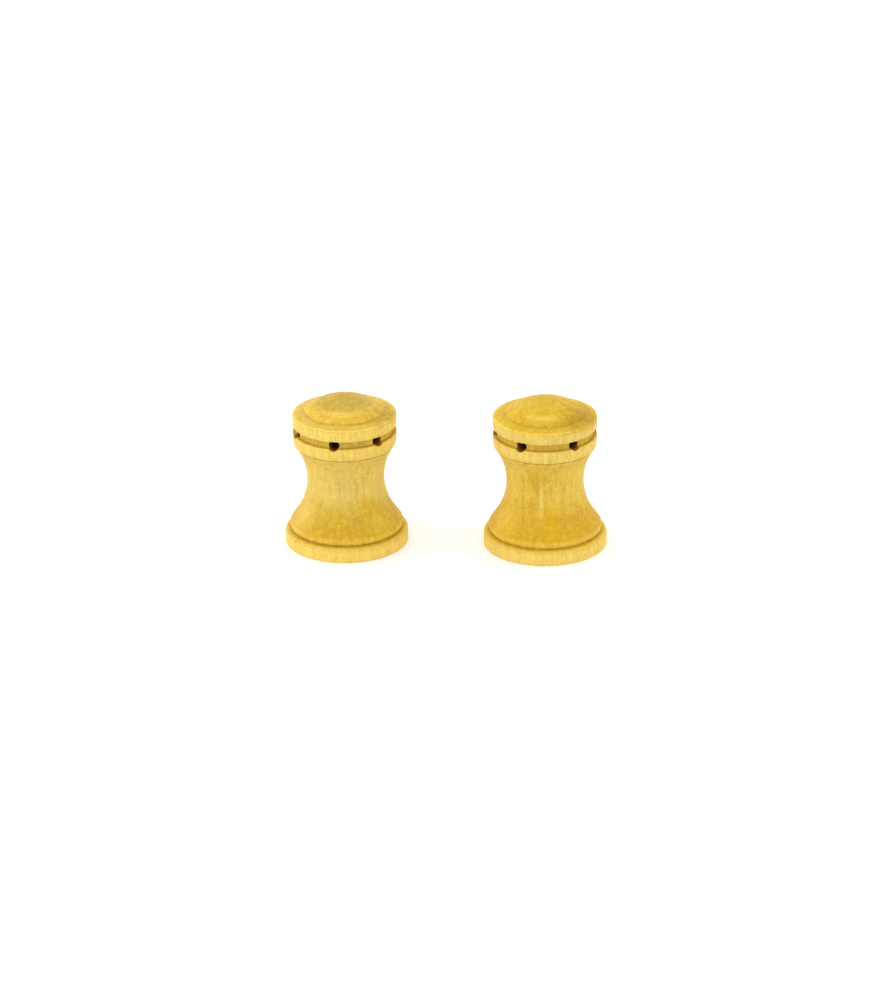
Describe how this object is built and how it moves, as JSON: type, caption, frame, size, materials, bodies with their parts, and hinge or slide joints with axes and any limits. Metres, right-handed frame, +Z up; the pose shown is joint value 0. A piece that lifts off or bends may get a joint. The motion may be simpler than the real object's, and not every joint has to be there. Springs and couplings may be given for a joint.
{
  "type": "salt and pepper shakers",
  "caption": "Pair of turned wooden salt and pepper shakers with waisted bodies, domed push-on caps over side pouring holes, and soft base stoppers.",
  "frame": {"origin": "midway between the two shakers, on the plane they stand on", "axes": "+Z up along both shakers' axes, +X from the salt shaker to the pepper shaker, -Y towards the viewer"},
  "size_m": [0.1204, 0.046, 0.0575],
  "materials": {
    "body_wood": "bare turned pale wood, fine grain, satin",
    "cap_wood": "bare turned pale wood with end grain on the dome, satin",
    "stopper_rubber": "soft translucent white silicone, matte"
  },
  "bodies": {
    "salt_shaker": {"salt_body": "body_wood"},
    "salt_lid": {"salt_cap": "cap_wood"},
    "salt_plug": {"salt_stopper": "stopper_rubber"},
    "pepper_shaker": {"pepper_body": "body_wood"},
    "pepper_lid": {"pepper_cap": "cap_wood"},
    "pepper_plug": {"pepper_stopper": "stopper_rubber"}
  },
  "joints": [
    {"name": "salt_cap_lift", "type": "slide", "parent": "salt_shaker", "child": "salt_lid", "axis": [0, 0, 1], "range_m": [0, 0.03]},
    {"name": "salt_stopper_pull", "type": "slide", "parent": "salt_shaker", "child": "salt_plug", "axis": [0, 0, -1], "range_m": [0, 0.025]},
    {"name": "pepper_lift", "type": "slide", "parent": "salt_shaker", "child": "pepper_shaker", "axis": [0, 0, 1], "range_m": [0, 0.1]},
    {"name": "pepper_cap_lift", "type": "slide", "parent": "pepper_shaker", "child": "pepper_lid", "axis": [0, 0, 1], "range_m": [0, 0.03]},
    {"name": "pepper_stopper_pull", "type": "slide", "parent": "pepper_shaker", "child": "pepper_plug", "axis": [0, 0, -1], "range_m": [0, 0.025]}
  ]
}
